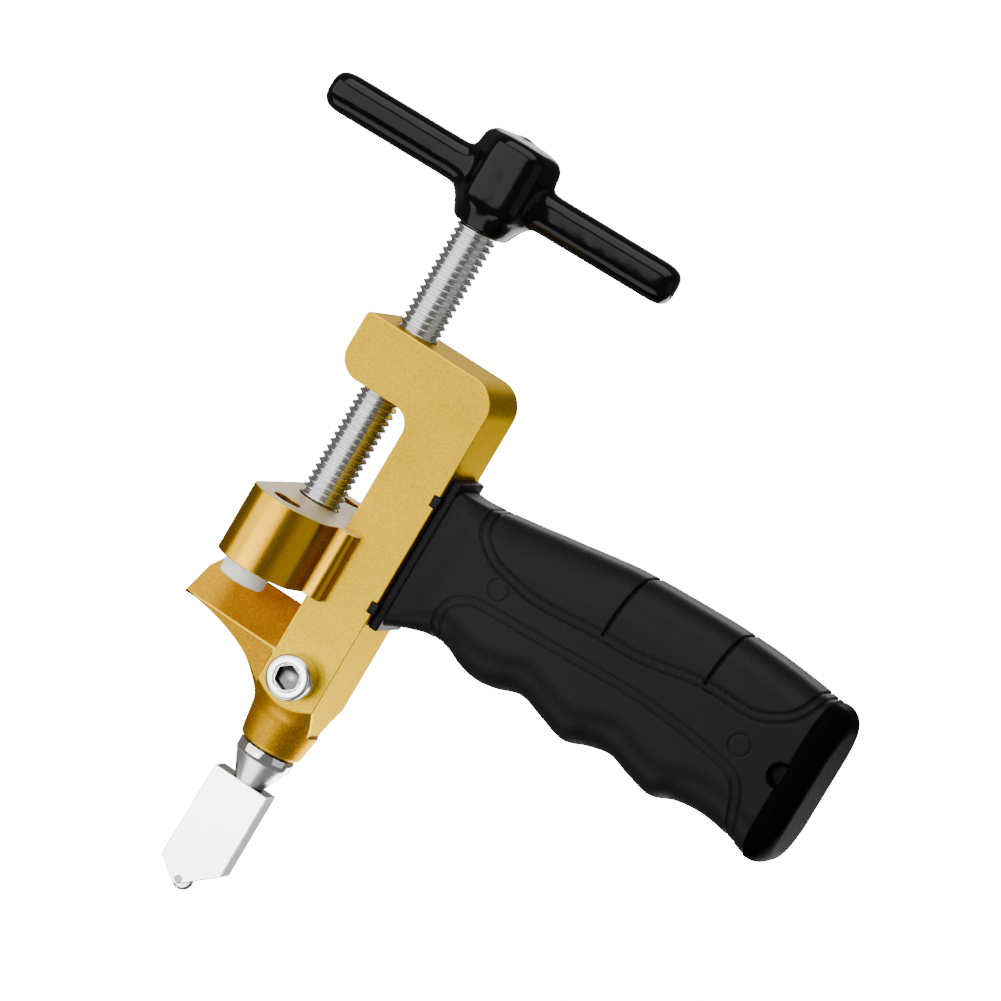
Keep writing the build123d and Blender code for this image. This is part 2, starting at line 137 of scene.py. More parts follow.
class Maker:
    """Builds one node material."""

    def __init__(self, name: str) -> None:
        """Starts an empty node tree with a Principled shader.

        Args:
            name: the material's name.
        """
        self.material = bpy.data.materials.new(name)
        self.material.use_nodes = True
        self.tree = self.material.node_tree
        self.tree.nodes.clear()
        self.shader = self.node("ShaderNodeBsdfPrincipled")
        out = self.node("ShaderNodeOutputMaterial")
        self.tree.links.new(self.shader.outputs[0], out.inputs["Surface"])

    def node(
        self,
        kind: str,
        settings: Optional[dict[str, object]] = None,
        inputs: Optional[dict[Union[str, int], object]] = None,
    ) -> bpy.types.Node:
        """Adds a node.

        Args:
            kind: the node's type name.
            settings: properties set before the sockets.
            inputs: values or links of its sockets.

        Returns:
            The new node.
        """
        node = self.tree.nodes.new(kind)
        for key, value in (settings or {}).items():
            setattr(node, key, value)
        for key, value in (inputs or {}).items():
            self.feed(node, key, value)
        return node

    def feed(self, node: bpy.types.Node, key: Union[str, int], value: object) -> None:
        """Sets or links one input.

        Args:
            node: the node that receives it.
            key: the input's name or number.
            value: a number, colour, vector, output socket or Val.
        """
        value = value.socket if isinstance(value, Val) else value
        if isinstance(value, bpy.types.NodeSocket):
            self.tree.links.new(value, node.inputs[key])
        else:
            node.inputs[key].default_value = value

    def place(self, scale: Triple) -> bpy.types.NodeSocket:
        """Object coordinates, stretched.

        Args:
            scale: how much each axis is multiplied by.

        Returns:
            The vector output.
        """
        coords = self.node("ShaderNodeTexCoord").outputs["Object"]
        mapping = self.node("ShaderNodeMapping", inputs={"Vector": coords, "Scale": scale})
        return mapping.outputs[0]

    def noise(
        self,
        size: float,
        detail: float = 2.0,
        stretch: Triple = (1, 1, 1),
        rough: float = 0.5,
    ) -> Val:
        """Noise between 0 and 1.

        Args:
            size: the width of one blotch, in metres.
            detail: octaves.
            stretch: extra scale on each axis.
            rough: how strong the finer octaves are.

        Returns:
            The noise value.
        """
        made = self.node(
            "ShaderNodeTexNoise",
            inputs={
                "Vector": self.place(stretch),
                "Scale": 1.0 / size,
                "Detail": detail,
                "Roughness": rough,
            },
        )
        return Val(self, made.outputs[0])

    def mask(self, value: Val, low: float, high: float) -> Val:
        """A smooth step from 0 at low to 1 at high.

        Args:
            value: what is measured.
            low: where the step starts.
            high: where it ends.

        Returns:
            The mask.
        """
        made = self.node(
            "ShaderNodeMapRange",
            {"interpolation_type": "SMOOTHSTEP"},
            {"Value": value, "From Min": low, "From Max": high},
        )
        return Val(self, made.outputs[0])

    def mix(self, factor: Term, a: object, b: object) -> bpy.types.NodeSocket:
        """Blends two colours.

        Args:
            factor: 0 gives a, 1 gives b.
            a: first colour.
            b: second colour.

        Returns:
            The colour output.
        """
        made = self.node("ShaderNodeMix", {"data_type": "RGBA"}, {0: factor, 6: a, 7: b})
        return made.outputs[2]

    def bump(self, height: Val, strength: float, depth: float) -> None:
        """Adds relief to the shader's normal.

        Args:
            height: the relief, 0 to 1.
            strength: how strongly it acts.
            depth: its height in metres.
        """
        sockets = {"Height": height, "Strength": strength, "Distance": depth}
        made = self.node("ShaderNodeBump", inputs=sockets)
        self.feed(self.shader, "Normal", made.outputs[0])

    def finish(self, **sockets: object) -> bpy.types.Material:
        """Sets the shader's sockets.

        Args:
            sockets: socket names, with underscores for spaces, and values.

        Returns:
            The finished material.
        """
        for key, value in sockets.items():
            self.feed(self.shader, key.replace("_", " "), value)
        return self.material


def rgba(colour: Triple) -> tuple[float, float, float, float]:
    """A colour with full alpha."""
    return (*colour, 1.0)


# ---------------------------------------------------------------- finishes
@dataclass(frozen=True)
class BlastedGold:
    """Gold anodising over a fine sandblast, as on the frame."""

    name: str = "blasted_gold"
    light: Triple = (0.59, 0.395, 0.0)
    dark: Triple = (0.37, 0.195, 0.0)
    grain: float = 0.36 * MM
    roughness: float = 0.42
    relief: float = 0.20

    def make(self) -> bpy.types.Material:
        """The node material."""
        m = Maker(self.name)
        grain = m.noise(self.grain, 3.0, rough=0.65)
        cloud = m.noise(9 * MM, 2.0)
        pits = m.mask(m.noise(0.7 * MM, 2.0), 0.62, 0.76)
        tone = (m.mask(grain, 0.30, 0.66) * 0.85 + cloud * 0.4 - 0.12).clamp()
        colour = m.mix(tone, rgba(self.dark), rgba(self.light))
        colour = m.mix(pits * 0.30, colour, rgba((0.50, 0.24, 0.004)))
        m.bump(grain - pits * 0.3, self.relief, 0.10 * MM)
        rough = grain * 0.16 + (self.roughness - 0.08)
        return m.finish(
            Base_Color=colour, Metallic=1.0, Roughness=rough, Specular_Tint=rgba(EDGE_TINT)
        )


@dataclass(frozen=True)
class DrawnGold:
    """Bright gold anodising over a drawn bar, with fine lines along Z."""

    name: str = "drawn_gold"
    light: Triple = (0.68, 0.40, 0.0)
    dark: Triple = (0.48, 0.21, 0.0)
    roughness: float = 0.25

    def make(self) -> bpy.types.Material:
        """The node material."""
        m = Maker(self.name)
        lines = m.noise(0.5 * MM, 2.0, (1, 1, 0.04), 0.5)
        marks = m.mask(m.noise(1.1 * MM, 2.0, (1, 1, 0.5)), 0.62, 0.78)
        grain = m.noise(0.35 * MM, 2.0)
        colour = m.mix((lines * 0.6 + grain * 0.4).clamp(), rgba(self.dark), rgba(self.light))
        colour = m.mix(marks * 0.25, colour, rgba((0.45, 0.22, 0.01)))
        m.bump(lines * 0.5 + grain * 0.4, 0.10, 0.05 * MM)
        rough = lines * 0.10 + marks * 0.08 + (self.roughness - 0.04)
        return m.finish(
            Base_Color=colour, Metallic=1.0, Roughness=rough, Specular_Tint=rgba(EDGE_TINT)
        )


@dataclass(frozen=True)
class SawnGold:
    """The sawn and anodised ends of the drawn bar: paler, with saw lines."""

    name: str = "sawn_gold"
    light: Triple = (0.92, 0.80, 0.55)
    dark: Triple = (0.74, 0.62, 0.40)

    def make(self) -> bpy.types.Material:
        """The node material."""
        m = Maker(self.name)
        saw = m.noise(0.45 * MM, 2.0, (1, 0.05, 1), 0.5)
        cloud = m.noise(3 * MM, 2.0)
        colour = m.mix((saw * 0.7 + cloud * 0.4).clamp(), rgba(self.dark), rgba(self.light))
        m.bump(saw, 0.18, 0.06 * MM)
        return m.finish(Base_Color=colour, Metallic=1.0, Roughness=saw * 0.18 + 0.42)


@dataclass(frozen=True)
class EdgeGoldPaintedHighlight:
    """Broken edges of the anodised pieces, smoother than the faces and painted a brighter gold as
    painted highlight along the edges.
    """

    name: str = "edge_gold_painted_highlight"
    colour: Triple = (0.66, 0.34, 0.001)

    def make(self) -> bpy.types.Material:
        """The node material."""
        m = Maker(self.name)
        grain = m.noise(0.5 * MM, 2.0)
        # the brighter gold of the edge strips is painted highlight
        colour = m.mix(grain, rgba(self.colour), rgba((0.84, 0.55, 0.002)))
        m.bump(grain, 0.12, 0.05 * MM)
        return m.finish(Base_Color=colour, Metallic=1.0, Roughness=grain * 0.15 + 0.30)


@dataclass(frozen=True)
class Plated:
    """A plated or bare metal finish; edge is how bright it is where seen at a shallow angle."""

    name: str
    light: Triple
    dark: Triple
    roughness: float
    spread: float = 0.12
    grain: float = 0.5 * MM
    relief: float = 0.06
    stretch: Triple = (1.0, 1.0, 1.0)
    edge: float = 1.0

    def make(self) -> bpy.types.Material:
        """The node material."""
        m = Maker(self.name)
        grain = m.noise(self.grain, 3.0, self.stretch, 0.6)
        cloud = m.noise(4 * MM, 2.0)
        colour = m.mix((grain * 0.5 + cloud * 0.6 - 0.05).clamp(), rgba(self.dark), rgba(self.light))
        m.bump(grain, self.relief, 0.05 * MM)
        rough = grain * self.spread + (self.roughness - self.spread / 2)
        edge = rgba((self.edge, self.edge, self.edge))
        return m.finish(Base_Color=colour, Metallic=1.0, Roughness=rough, Specular_Tint=edge)


@dataclass(frozen=True)
class DippedVinyl:
    """A thick glossy black dipped coating with slow waves."""

    name: str = "dipped_vinyl"

    def make(self) -> bpy.types.Material:
        """The node material."""
        m = Maker(self.name)
        wave = m.noise(6 * MM, 1.0)
        dust = m.mask(m.noise(0.5 * MM, 2.0), 0.70, 0.80)
        colour = m.mix(dust * 0.3, rgba((0.0018, 0.0018, 0.0020)), rgba((0.012, 0.012, 0.012)))
        m.bump(wave + dust * 0.03, 0.30, 0.5 * MM)
        rough = dust * 0.08 + wave * 0.06 + 0.10
        return m.finish(Base_Color=colour, Metallic=0.0, Roughness=rough, Specular_IOR_Level=0.16)


@dataclass(frozen=True)
class MouldedGrip:
    """Black moulded plastic with a fine spark-eroded grain; grooves are painted a touch darker as
    painted shade.
    """

    name: str = "moulded_grip"
    colour: Triple = (0.0035, 0.0035, 0.0042)
    pale: Triple = (0.0075, 0.0075, 0.0090)
    roughness: float = 0.44
    gloss: float = 0.095
    grooves: bool = True

    def make(self) -> bpy.types.Material:
        """The node material."""
        m = Maker(self.name)
        grain = m.noise(0.28 * MM, 2.0)
        flow = m.noise(16 * MM, 3.0)
        colour = m.mix((flow * 0.5 + grain * 0.4).clamp(), rgba(self.colour), rgba(self.pale))
        if self.grooves:
            # the groove attribute darkens the colour in the grooves: painted shade
            groove_shade = m.node("ShaderNodeAttribute", {"attribute_name": "groove_shade"})
            depth = Val(m, groove_shade.outputs["Fac"])
            colour = m.mix((depth * 0.9).clamp(), colour, rgba((0.0006, 0.0006, 0.0006)))
        m.bump(grain, 0.10, 0.05 * MM)
        rough = flow * 0.12 + grain * 0.06 + (self.roughness - 0.08)
        return m.finish(
            Base_Color=colour, Metallic=0.0, Roughness=rough, Specular_IOR_Level=self.gloss
        )


@dataclass(frozen=True)
class Nylon:
    """Natural white nylon, slightly see-through at its edges."""

    name: str = "natural_nylon"

    def make(self) -> bpy.types.Material:
        """The node material."""
        m = Maker(self.name)
        cloud = m.noise(3 * MM, 3.0)
        scuff = m.mask(m.noise(0.6 * MM, 3.0), 0.55, 0.75)
        colour = m.mix(cloud, rgba((0.88, 0.87, 0.82)), rgba((0.96, 0.95, 0.91)))
        colour = m.mix(scuff * 0.3, colour, rgba((0.68, 0.67, 0.62)))
        m.bump(scuff + cloud * 0.3, 0.12, 0.05 * MM)
        return m.finish(
            Base_Color=colour,
            Metallic=0.0,
            Roughness=scuff * 0.12 + 0.38,
            Subsurface_Weight=0.25,
            Subsurface_Scale=0.6 * MM,
        )


class Metal(Enum):
    """The plain metal finishes used on small pieces."""

    ZINC = Plated(
        "bright_zinc", (0.84, 0.85, 0.87), (0.74, 0.75, 0.78), 0.24, spread=0.08, relief=0.02
    )
    THREAD = Plated("zinc_thread", (0.76, 0.78, 0.80), (0.50, 0.52, 0.55), 0.24, relief=0.10)
    CHROME = Plated(
        "chrome", (0.88, 0.89, 0.91), (0.82, 0.83, 0.86), 0.07,
        spread=0.05, grain=2 * MM, relief=0.02,
    )
    TURNED = Plated(
        "turned_steel", (0.95, 0.96, 0.98), (0.84, 0.85, 0.88), 0.30,
        grain=0.3 * MM, stretch=(0.1, 0.1, 1),
    )
    NICKEL = Plated(
        "satin_nickel", (0.98, 0.98, 0.97), (0.94, 0.94, 0.93), 0.27,
        spread=0.10, grain=0.3 * MM, relief=0.05,
    )
    # a dark copy of the nickel for the plate's edge faces: painted shade
    NICKEL_SHADED_SIDE = Plated(
        "nickel_side_painted_shade", (0.30, 0.29, 0.275), (0.20, 0.19, 0.18), 0.34,
        spread=0.14, grain=0.25 * MM, relief=0.10, stretch=(1, 0.2, 1), edge=0.35,
    )
    # dark grey for the inside of the hex socket: painted shade in the recess
    SOCKET_PAINTED_SHADE = Plated(
        "socket_painted_shade", (0.15, 0.145, 0.14), (0.07, 0.066, 0.06), 0.16, edge=0.6
    )
    SPRING = Plated("spring_steel", (0.42, 0.42, 0.44), (0.28, 0.28, 0.30), 0.36)
    CARBIDE = Plated(
        "ground_carbide", (0.62, 0.62, 0.63), (0.46, 0.46, 0.47), 0.24, stretch=(1, 4, 1)
    )
    AXLE = Plated("axle_steel", (0.30, 0.30, 0.31), (0.18, 0.18, 0.19), 0.34)


_made: dict[str, bpy.types.Material] = {}


def finish_of(spec: object) -> bpy.types.Material:
    """The material of a finish, made once.

    Args:
        spec: a finish, or a Metal member.

    Returns:
        The material.
    """
    spec = spec.value if isinstance(spec, Metal) else spec
    if spec.name not in _made:
        _made[spec.name] = spec.make()
    return _made[spec.name]


# ---------------------------------------------------------------- mesh helpers
def to_object(bm: bmesh.types.BMesh, name: str, smooth_deg: float = 35.0) -> bpy.types.Object:
    """Turns a bmesh into a linked object with its sharp edges marked.

    Args:
        bm: the mesh, which is freed.
        name: the object's name.
        smooth_deg: edges sharper than this stay hard.

    Returns:
        The object.
    """
    bm.normal_update()
    limit = math.radians(smooth_deg)
    for face in bm.faces:
        face.smooth = True
    for edge in bm.edges:
        edge.smooth = len(edge.link_faces) != 2 or edge.calc_face_angle(0.0) < limit
    mesh = bpy.data.meshes.new(name)
    bm.to_mesh(mesh)
    bm.free()
    obj = bpy.data.objects.new(name, mesh)
    bpy.context.scene.collection.objects.link(obj)
    return obj


def polyline(bm: bmesh.types.BMesh, points: list[Vector]) -> None:
    """Adds vertices joined by edges in their order.

    Args:
        bm: receives them.
        points: where the vertices are.
    """
    chain = [bm.verts.new(point) for point in points]
    for a, b in zip(chain, chain[1:]):
        bm.edges.new((a, b))


def lathe(profile: list[Point], axis: Vector, centre: Vector, steps: int = 96) -> bmesh.types.BMesh:
    """A closed turned solid.

    Args:
        profile: radius and distance along the axis, from one end of the axis to the other.
        axis: the axis of turning.
        centre: a point on the axis where the distance is zero.
        steps: segments round the axis.

    Returns:
        The mesh.
    """
    bm = bmesh.new()
    axis = axis.normalized()
    side = axis.orthogonal().normalized()
    polyline(bm, [centre + side * r + axis * d for r, d in profile])
    bmesh.ops.spin(
        bm, geom=bm.verts[:] + bm.edges[:], cent=centre, axis=axis,
        angle=FULL_TURN, steps=steps, use_merge=True,
    )
    bmesh.ops.remove_doubles(bm, verts=bm.verts[:], dist=MERGE)
    bmesh.ops.recalc_face_normals(bm, faces=bm.faces[:])
    return bm


def merged_copy(node: str, name: str) -> bmesh.types.BMesh:
    """A merged copy of a CAD node, with the triangles of its flat faces joined.

    Args:
        node: the CAD node.
        name: used in the log.

    Returns:
        The mesh.
    """
    bm = bmesh.new()
    bm.from_mesh(frame["nodes"][node].data)
    bmesh.ops.remove_doubles(bm, verts=bm.verts[:], dist=2 * MERGE)
    bmesh.ops.dissolve_limit(
        bm, angle_limit=math.radians(0.6), verts=bm.verts[:], edges=bm.edges[:], delimit=set()
    )
    LOG.info("%s: copied, %d faces", name, len(bm.faces))
    return bm


def soften(obj: bpy.types.Object, width: float, segments: int, slot: int) -> None:
    """Rounds an object's sharp edges.

    Args:
        obj: the object.
        width: the bevel's width in metres.
        segments: steps across it.
        slot: material index of the rounded strip.
    """
    bevel = obj.modifiers.new("soften", "BEVEL")
    bevel.width = width
    bevel.segments = segments
    bevel.limit_method = "ANGLE"
    bevel.angle_limit = BEVEL_ANGLE
    bevel.material = slot
    bevel.harden_normals = True
    bevel.use_clamp_overlap = False


def applied(obj: bpy.types.Object) -> bpy.types.Object:
    """Applies an object's modifiers to its mesh.

    Args:
        obj: the object.

    Returns:
        The same object.
    """
    depsgraph = bpy.context.evaluated_depsgraph_get()
    mesh = bpy.data.meshes.new_from_object(obj.evaluated_get(depsgraph))
    obj.modifiers.clear()
    obj.data = mesh
    return obj


def dress(obj: bpy.types.Object, *specs: object) -> None:
    """Gives an object its materials in slot order.

    Args:
        obj: the object.
        specs: finishes.
    """
    for spec in specs:
        obj.data.materials.append(finish_of(spec))


def settle(obj: bpy.types.Object, body: str, slot: str, *nodes: str) -> None:
    """Fixes a piece to its body.

    Args:
        obj: the piece.
        body: the CAD body it rides on.
        slot: the record's material slot; not used.
        nodes: CAD nodes it stands for.
    """
    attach(obj, body)
    if nodes:
        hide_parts(*nodes)
    LOG.info("%s: %d faces on %s", obj.name, len(obj.data.polygons), body)


def dress_node(node: str, *specs: object) -> None:
    """Gives a kept CAD node its materials.

    Args:
        node: the CAD node.
        specs: finishes.
    """
    dress(frame["nodes"][node], *specs)
    LOG.info("%s: kept with a finish", node)


def eased(points: list[Point], count: int) -> np.ndarray:
    """Points along a smooth curve through the given ones.

    Args:
        points: the points it passes through.
        count: samples per span.

    Returns:
        The samples, one row each.
    """
    p = np.array([points[0], *points, points[-1]], float)
    t = np.linspace(0, 1, count, endpoint=False)[:, None]
    rows = []
    for i in range(1, len(p) - 2):
        a, b, c, d = p[i - 1], p[i], p[i + 1], p[i + 2]
        square = (2 * a - 5 * b + 4 * c - d) * t**2
        cube = (3 * b - a - 3 * c + d) * t**3
        rows.append(0.5 * (2 * b + (c - a) * t + square + cube))
    rows.append(p[-2:-1])
    return np.vstack(rows)


# ---------------------------------------------------------------- frame
@dataclass
class CFrame:
    """The C-shaped gold frame with its anvil fin and nose."""

    edge: float = 0.32 * MM
    fin_top: float = 71.0 * MM
    # a deeper, more orange copy of the blasted gold: painted shade for the turned and sloping faces
    # below the fin top
    deep: BlastedGold = BlastedGold("blasted_gold_painted_shade", (0.72, 0.39, 0.0), (0.48, 0.195, 0.0))

    def build(self) -> None:
        """Builds and dresses the frame; its turned and sloping faces below get a deeper, more orange
        gold as painted shade.
        """
        bm = merged_copy("frame", "c_frame")
        bm.normal_update()
        for face in bm.faces:
            flat = max(abs(face.normal.x), abs(face.normal.y)) > 0.99
            # faces below the fin top that are not flat sides take the deeper gold, which is painted
            # shade
            face.material_index = 0 if flat or face.calc_center_median().z > self.fin_top else 2
        obj = to_object(bm, "c_frame")
        dress(obj, BlastedGold(), EdgeGoldPaintedHighlight(), self.deep)
        soften(obj, self.edge, 3, 1)
        settle(obj, "frame", "anodised_frame", "frame")


# ---------------------------------------------------------------- clamp screw
@dataclass
class ClampScrew:
    """The clamp screw with its rolled thread."""

    x: float = -18.2 * MM
    radius: float = 4.7625 * MM
    root: float = 3.95 * MM
    pitch: float = 1.5875 * MM
    low: float = 84.2 * MM
    high: float = 160.6 * MM
    steps: int = 44
    flank: tuple[Point, ...] = (
        (1.0, 0.0), (1.0, 0.07), (0.86, 0.14), (0.1, 0.42), (0.0, 0.5),
        (0.1, 0.58), (0.86, 0.86), (1.0, 0.93), (1.0, 1.0),
    )

    def thread(self) -> bmesh.types.BMesh:
        """The helical thread, one groove profile turned and raised."""
        turns = int((self.high - self.low) / self.pitch) - 1
        deep = self.radius - self.root
        bm = bmesh.new()
        centre = Vector((self.x, 0, 0))
        polyline(
            bm,
            [
                centre + Vector((self.root + deep * height, 0, self.low + along * self.pitch))
                for height, along in self.flank
            ],
        )
        bmesh.ops.spin(
            bm,
            geom=bm.verts[:] + bm.edges[:],
            cent=centre,
            axis=(0, 0, 1),
            dvec=(0, 0, self.pitch / self.steps),
            angle=FULL_TURN * turns,
            steps=turns * self.steps,
        )
        bmesh.ops.remove_doubles(bm, verts=bm.verts[:], dist=4 * MERGE)
        bmesh.ops.recalc_face_normals(bm, faces=bm.faces[:])
        return bm

    def build(self) -> None:
        """Builds and dresses the screw."""
        obj = to_object(self.thread(), "clamp_thread", 60.0)
        dress(obj, Metal.THREAD)
        settle(obj, "screw", "zinc_thread", "clamp_screw")
        r = self.radius / MM
        core = [
            (0, 73.2), (3.0, 73.2), (3.0, 73.8), (2.4, 73.8), (2.4, 74.6), (3.0, 74.6),
            (3.0, 84.0), (r - 0.9, 84.0), (r - 0.05, 84.6), (r - 0.9, 85.6), (3.97, 86.2),
            (3.97, 159.5),
            (r - 0.1, 160.0), (r - 0.8, 161.5), (0, 161.5),
        ]
        core = [(a * MM, b * MM) for a, b in core]
        bm = lathe(core, Vector((0, 0, 1)), Vector((self.x, 0, 0)), 64)
        obj = to_object(bm, "clamp_screw_core")
        dress(obj, Metal.ZINC)
        settle(obj, "screw", "zinc_thread", "clamp_screw")
        dress_node("retaining_ring", Metal.SPRING)
        dress_node("thrust_washer", Metal.SPRING)


# ---------------------------------------------------------------- tee handle
@dataclass
class TeeHandle:
    """The dipped tee handle: a hexagonal hub and a round cross bar under one coating."""

    x: float = -18.2 * MM
    z: float = 166.0 * MM
    turn: float = 9.5
    half: float = 42.9 * MM
    bar: float = 4.55 * MM
    hub: float = 9.5 * MM
    low: float = 156.0 * MM
    high: float = 176.5 * MM
    corner: float = 2.0 * MM
    drip: float = 2.5 * MM
    cell: float = 0.42 * MM
    smoothing: int = 32

    def hub_mesh(self, bm: bmesh.types.BMesh) -> None:
        """Adds the hexagonal hub, its skirt and the drip left on top.

        Args:
            bm: receives the shapes.
        """
        levels = [
            (self.low + 2.6 * MM, 0.70),
            (self.low + 4.3 * MM, 1.02),
            (self.low + 6.5 * MM, 1.08),
            (self.high - 5.0 * MM, 1.08),
            (self.high - 1.5 * MM, 1.04),
            (self.high + 0.1 * MM, 0.86),
            (self.high + 0.5 * MM, 0.50),
        ]
        rings = []
        for z, size in levels:
            turn = Matrix.Translation((self.x, 0, z)) @ Matrix.Rotation(math.radians(30), 4, "Z")
            made = bmesh.ops.create_circle(
                bm, cap_ends=False, segments=6, radius=self.hub * size, matrix=turn
            )
            edges = {e for v in made["verts"] for e in v.link_edges}
            rings.append(sorted(edges, key=lambda e: e.index))
        for a, b in zip(rings, rings[1:]):
            bmesh.ops.bridge_loops(bm, edges=a + b)
        bmesh.ops.contextual_create(bm, geom=rings[0])
        bmesh.ops.contextual_create(bm, geom=rings[-1])
        upright = [e for e in bm.edges if abs(e.verts[0].co.z - e.verts[1].co.z) > 2 * TOUCH]
        bmesh.ops.bevel(
            bm, geom=upright, offset=self.corner, offset_type="OFFSET", affect="EDGES",
            segments=5, profile=0.5, material=-1, clamp_overlap=True,
        )
        place = Matrix.Translation((self.x - 1.2 * MM, 3.4 * MM, self.high - 0.25 * MM))
        place = place @ Matrix.Diagonal((1, 1, 0.55, 1))
        bmesh.ops.create_uvsphere(
            bm, u_segments=24, v_segments=12, radius=self.drip, matrix=place
        )
        skirt = Matrix.Translation((self.x, 0, self.low + 1.8 * MM))
        bmesh.ops.create_cone(
            bm, cap_ends=True, segments=48, radius1=6.3 * MM, radius2=8.3 * MM,
            depth=4.2 * MM, matrix=skirt,
        )

    def bar_mesh(self, bm: bmesh.types.BMesh) -> None:
        """Adds the cross bar, which thickens towards the hub.

        Args:
            bm: receives the shape.
        """
        h, r = self.half, self.bar
        right = [
            (0.0, h), (0.55, h - 0.12 * MM), (0.82, h - 0.9 * MM), (0.95, h - 2.1 * MM),
            (1.0, h - 3.8 * MM), (1.0, 12 * MM), (1.03, 9.6 * MM), (1.16, 8.0 * MM),
        ]
        profile = [(a * r, d) for a, d in right] + [(a * r, -d) for a, d in reversed(right)]
        part = lathe(profile, Vector((1, 0, 0)), Vector((self.x, 0, self.z)), 40)
        mesh = bpy.data.meshes.new("bar_part")
        part.to_mesh(mesh)
        part.free()
        bm.from_mesh(mesh)
        bpy.data.meshes.remove(mesh)

    def build(self) -> None:
        """Builds the coating as one melted skin, then turns it to its place about the screw."""
        bm = bmesh.new()
        self.hub_mesh(bm)
        self.bar_mesh(bm)
        bmesh.ops.recalc_face_normals(bm, faces=bm.faces[:])
        obj = to_object(bm, "tee_coating_skin", 180.0)
        melt = obj.modifiers.new("melt", "REMESH")
        melt.mode = "VOXEL"
        melt.voxel_size = self.cell
        melt.use_smooth_shade = True
        flow = obj.modifiers.new("flow", "SMOOTH")
        flow.factor = 0.5
        flow.iterations = self.smoothing
        applied(obj)
        axis = Matrix.Translation((self.x, 0, 0))
        obj.data.transform(axis @ Matrix.Rotation(math.radians(self.turn), 4, "Z") @ axis.inverted())
        dress(obj, DippedVinyl())
        settle(obj, "screw", "dipped_vinyl", "tee_coating")
        for node in ("tee_hub", "tee_bar"):
            dress_node(node, Metal.ZINC)


# ---------------------------------------------------------------- presser
@dataclass
class Presser:
    """The presser block with its two nylon pads."""

    pad_x: float = -18.6 * MM
    pad_y: float = 20.0 * MM
    top: float = 88.0 * MM
    low: float = 72.0 * MM
    pad_r: float = 5.2 * MM
    pad_h: float = 4.0 * MM
    stem_r: float = 3.08 * MM
    stem_top: float = 82.0 * MM
    ear_x: float = -3.2 * MM
    ear_y: float = 14.4 * MM
    ear_round: float = 2.3 * MM
    edge: float = 0.18 * MM

    def at_ear(self, vert: bmesh.types.BMVert) -> bool:
        """Whether a vertex is on an ear's outer corner."""
        x, y = abs(vert.co.x - self.ear_x), abs(abs(vert.co.y) - self.ear_y)
        return max(x, y) < TOUCH

    def block(self) -> None:
        """Builds and dresses the block, with pale sawn ends."""
        bm = merged_copy("presser_block", "presser_body")
        corner = [e for e in bm.edges if all(self.at_ear(v) for v in e.verts)]
        bmesh.ops.bevel(
            bm, geom=corner, offset=self.ear_round, offset_type="OFFSET", affect="EDGES",
            segments=10, profile=0.5, material=-1, clamp_overlap=True,
        )
        LOG.info("presser_body: rounded %d ear corners", len(corner))
        bm.normal_update()
        for face in bm.faces:
            z = face.calc_center_median().z
            at_end = min(abs(z - self.top), abs(z - self.low)) < TOUCH
            face.material_index = int(abs(face.normal.z) > 0.99 and at_end)
        obj = to_object(bm, "presser_body", 28.0)
        dress(obj, DrawnGold(), SawnGold(), EdgeGoldPaintedHighlight())
        soften(obj, self.edge, 2, 2)
        settle(obj, "presser", "anodised_block", "presser_block")

    def pad(self, side: int, node: str) -> None:
        """Builds and dresses one pad.

        Args:
            side: -1 near, 1 far.
            node: the CAD node it stands for.
        """
        r, s, h = self.pad_r, self.stem_r, self.pad_h
        f, top = 0.35 * MM, self.stem_top - self.low
        profile = [
            (0, -h), (r - 1.0 * MM, -h), (r - 0.45 * MM, -h + 0.08 * MM),
            (r - 0.1 * MM, -h + 0.4 * MM), (r, -h + 0.9 * MM), (r, -f), (r - 0.1 * MM, -f / 3),
            (r - f, 0), (s, 0), (s, top - f), (s - f, top), (0, top),
        ]
        bm = lathe(profile, Vector((0, 0, 1)), Vector((self.pad_x, side * self.pad_y, self.low)), 72)
        obj = to_object(bm, f"{node}_turned", 40.0)
        dress(obj, Nylon())
        settle(obj, "presser", "nylon", node)

    def build(self) -> None:
        """Builds the block and both pads."""
        self.block()
        self.pad(-1, "pad_near")
        self.pad(1, "pad_far")


